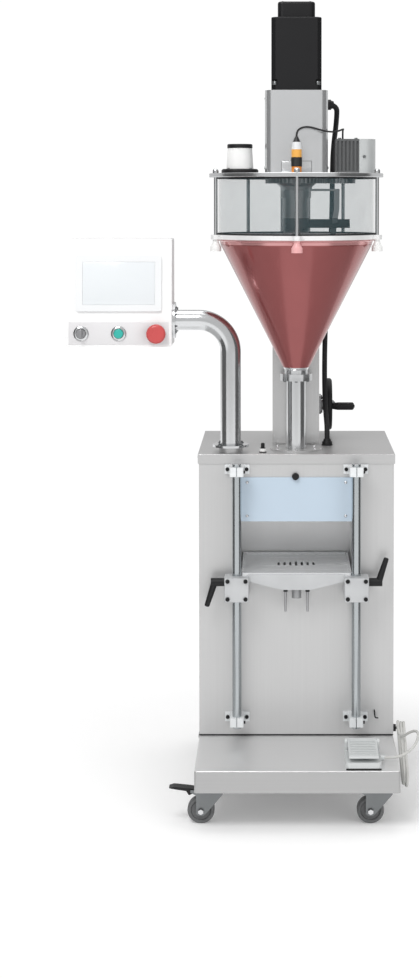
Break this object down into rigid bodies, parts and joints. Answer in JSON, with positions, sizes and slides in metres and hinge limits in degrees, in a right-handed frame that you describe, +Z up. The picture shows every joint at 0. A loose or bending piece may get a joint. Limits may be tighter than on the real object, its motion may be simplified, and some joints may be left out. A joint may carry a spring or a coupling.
{
  "type": "auger powder filler",
  "caption": "Auger powder filler on a wheeled cabinet: a lifting head with a clear hopper, cone and auger tube over a sliding tray, with a swivel control panel and a foot pedal.",
  "frame": {"origin": "middle of the machine's footprint on the floor, cord left out", "axes": "+Z up, -Y towards the operator, +X to the operator's right"},
  "size_m": [0.7631, 0.6504, 1.743],
  "materials": {
    "brushed_steel": "satin brushed stainless sheet",
    "polished_steel": "polished stainless",
    "plain_steel": "machined steel",
    "white_aluminium": "bead-blasted",
    "servo_black": "black, semi-matt",
    "motor_grey": "grey cast, finned",
    "clear_acrylic": "clear, pale blue-grey",
    "guard_blue": "pale blue sheet",
    "cone_red": "glossy pinkish red",
    "white_plastic": "white",
    "black_plastic": "black",
    "black_rubber": "black",
    "wheel_grey": "dark grey",
    "orange_plastic": "orange",
    "panel_white": "white powder coat",
    "screen": "pale screen",
    "button_red": "red",
    "button_green": "green",
    "zinc": "zinc-plated",
    "pedal_grey": "light grey",
    "cord_grey": "light grey"
  },
  "bodies": {
    "root": {"base_plinth": "brushed_steel", "cabinet_shell": "brushed_steel", "front_panel": "brushed_steel", "top_cover": "brushed_steel", "guard_panel": "guard_blue", "guide_rods": "polished_steel", "rod_brackets": "white_aluminium", "lift_column": "brushed_steel", "shaft_bearing": "plain_steel", "head_cable": "black_rubber", "pedal_base": "pedal_grey", "cord_gland": "black_plastic", "cord_hank": "cord_grey", "pedal_cord": "cord_grey", "caster_plates": "zinc"},
    "head": {"mast": "polished_steel", "hopper_lid": "brushed_steel", "hopper_window": "clear_acrylic", "hopper_gaskets": "black_rubber", "hopper_ring": "brushed_steel", "tie_rods": "polished_steel", "clamp_knobs": "white_plastic", "hopper_cone": "cone_red", "head_housing": "brushed_steel", "servo_motor": "servo_black", "bearing_housing": "plain_steel", "auger_tube": "polished_steel", "stir_motor": "motor_grey", "inlet_neck": "white_plastic", "inlet_base": "black_plastic", "level_sensor": "orange_plastic", "sensor_lead": "black_rubber"},
    "auger": {"auger_screw": "polished_steel"},
    "agitator": {"agitator": "polished_steel"},
    "stir_pinion": {"stir_pinion": "plain_steel"},
    "inlet_cap": {"inlet_cap": "black_plastic"},
    "lift_screw": {"lift_screw": "plain_steel"},
    "handwheel": {"handwheel": "black_plastic"},
    "crank": {"crank_grip": "black_plastic"},
    "tray": {"tray_pan": "polished_steel", "tray_carriage": "white_aluminium"},
    "lever_left": {"clamp_lever_left": "black_plastic"},
    "lever_right": {"clamp_lever_right": "black_plastic"},
    "panel": {"arm_pipe": "polished_steel", "control_box": "panel_white", "box_back": "panel_white", "touch_screen": "screen"},
    "estop": {"estop_button": "button_red"},
    "start": {"start_button": "button_green"},
    "selector": {"selector_switch": "black_plastic"},
    "pedal": {"pedal_plate": "pedal_grey"},
    "brake": {"caster_brake": "black_plastic"},
    "fork_front_left": {"caster_fork_front_left": "zinc"},
    "wheel_front_left": {"caster_wheel_front_left": "wheel_grey"},
    "fork_front_right": {"caster_fork_front_right": "zinc"},
    "wheel_front_right": {"caster_wheel_front_right": "wheel_grey"},
    "fork_rear_left": {"caster_fork_rear_left": "zinc"},
    "wheel_rear_left": {"caster_wheel_rear_left": "wheel_grey"},
    "fork_rear_right": {"caster_fork_rear_right": "zinc"},
    "wheel_rear_right": {"caster_wheel_rear_right": "wheel_grey"}
  },
  "joints": [
    {"name": "head_lift", "type": "slide", "parent": "root", "child": "head", "axis": [0, 0, 1], "range_m": [0, 0.1], "deforming": ["head_cable"]},
    {"name": "handwheel_turn", "type": "hinge", "parent": "root", "child": "handwheel", "pos_m": [0.22175, 0.24775, 0.826], "axis": [1, 0, 0], "range_deg": [-1800, 0]},
    {"name": "screw_turn", "type": "hinge", "parent": "root", "child": "lift_screw", "pos_m": [0.14275, 0.24775, 0.826], "axis": [0, 0, 1], "range_deg": [-1800, 0]},
    {"name": "crank_spin", "type": "hinge", "parent": "handwheel", "child": "crank", "pos_m": [0.25175, 0.20075, 0.826], "axis": [1, 0, 0], "continuous": true},
    {"name": "auger_spin", "type": "hinge", "parent": "head", "child": "auger", "pos_m": [0.14275, 0.00775, 0.9], "axis": [0, 0, 1], "continuous": true},
    {"name": "agitator_spin", "type": "hinge", "parent": "head", "child": "agitator", "pos_m": [0.14275, 0.00775, 1.3], "axis": [0, 0, 1], "continuous": true},
    {"name": "stir_pinion_spin", "type": "hinge", "parent": "head", "child": "stir_pinion", "pos_m": [0.24025, 0.00775, 1.355], "axis": [0, 0, 1], "continuous": true},
    {"name": "inlet_cap_lift", "type": "slide", "parent": "head", "child": "inlet_cap", "axis": [0, 0, 1], "range_m": [0, 0.06]},
    {"name": "tray_slide", "type": "slide", "parent": "root", "child": "tray", "axis": [0, 0, 1], "range_m": [0, 0.1]},
    {"name": "lever_left_turn", "type": "hinge", "parent": "tray", "child": "lever_left", "pos_m": [-0.01375, -0.11225, 0.4775], "axis": [1, 0, 0], "range_deg": [-90, 15]},
    {"name": "lever_right_turn", "type": "hinge", "parent": "tray", "child": "lever_right", "pos_m": [0.29925, -0.11225, 0.4775], "axis": [1, 0, 0], "range_deg": [-15, 90]},
    {"name": "arm_swivel", "type": "hinge", "parent": "root", "child": "panel", "pos_m": [-0.00225, -0.03525, 0.9], "axis": [0, 0, 1], "range_deg": [-20, 60]},
    {"name": "estop_press", "type": "slide", "parent": "panel", "child": "estop", "axis": [0, 1, 0], "range_m": [0, 0.004], "stiffness_N_per_m": 1500, "springref_m": -0.002},
    {"name": "start_press", "type": "slide", "parent": "panel", "child": "start", "axis": [0, 1, 0], "range_m": [0, 0.004], "stiffness_N_per_m": 800, "springref_m": -0.002},
    {"name": "selector_turn", "type": "hinge", "parent": "panel", "child": "selector", "pos_m": [-0.32625, -0.08825, 1.018], "axis": [0, 1, 0], "range_deg": [-45, 45]},
    {"name": "pedal_press", "type": "hinge", "parent": "root", "child": "pedal", "pos_m": [0.28075, -0.21525, 0.157], "axis": [1, 0, 0], "range_deg": [0, 4], "stiffness_Nm_per_rad": 30, "springref_deg": -2.86},
    {"name": "swivel_front_left", "type": "hinge", "parent": "root", "child": "fork_front_left", "pos_m": [-0.03525, -0.26325, 0.082], "axis": [0, 0, 1], "continuous": true},
    {"name": "roll_front_left", "type": "hinge", "parent": "fork_front_left", "child": "wheel_front_left", "pos_m": [-0.05925, -0.26325, 0.0285], "axis": [0, 1, 0], "continuous": true},
    {"name": "swivel_front_right", "type": "hinge", "parent": "root", "child": "fork_front_right", "pos_m": [0.32075, -0.26325, 0.082], "axis": [0, 0, 1], "continuous": true},
    {"name": "roll_front_right", "type": "hinge", "parent": "fork_front_right", "child": "wheel_front_right", "pos_m": [0.29675, -0.26325, 0.0285], "axis": [0, 1, 0], "continuous": true},
    {"name": "swivel_rear_left", "type": "hinge", "parent": "root", "child": "fork_rear_left", "pos_m": [-0.03525, 0.26075, 0.082], "axis": [0, 0, 1], "continuous": true},
    {"name": "roll_rear_left", "type": "hinge", "parent": "fork_rear_left", "child": "wheel_rear_left", "pos_m": [-0.05925, 0.26075, 0.0285], "axis": [0, 1, 0], "continuous": true},
    {"name": "swivel_rear_right", "type": "hinge", "parent": "root", "child": "fork_rear_right", "pos_m": [0.32075, 0.26075, 0.082], "axis": [0, 0, 1], "continuous": true},
    {"name": "roll_rear_right", "type": "hinge", "parent": "fork_rear_right", "child": "wheel_rear_right", "pos_m": [0.29675, 0.26075, 0.0285], "axis": [0, 1, 0], "continuous": true},
    {"name": "brake_press", "type": "hinge", "parent": "fork_front_left", "child": "brake", "pos_m": [-0.07625, -0.26325, 0.0702], "axis": [0, -1, 0], "range_deg": [0, 12]}
  ],
  "couplings": [
    {"joint": "handwheel_turn", "follows": "head_lift", "rad_per_m": -314.16},
    {"joint": "screw_turn", "follows": "head_lift", "rad_per_m": -314.16},
    {"joint": "stir_pinion_spin", "follows": "agitator_spin", "ratio": -2.0952}
  ]
}
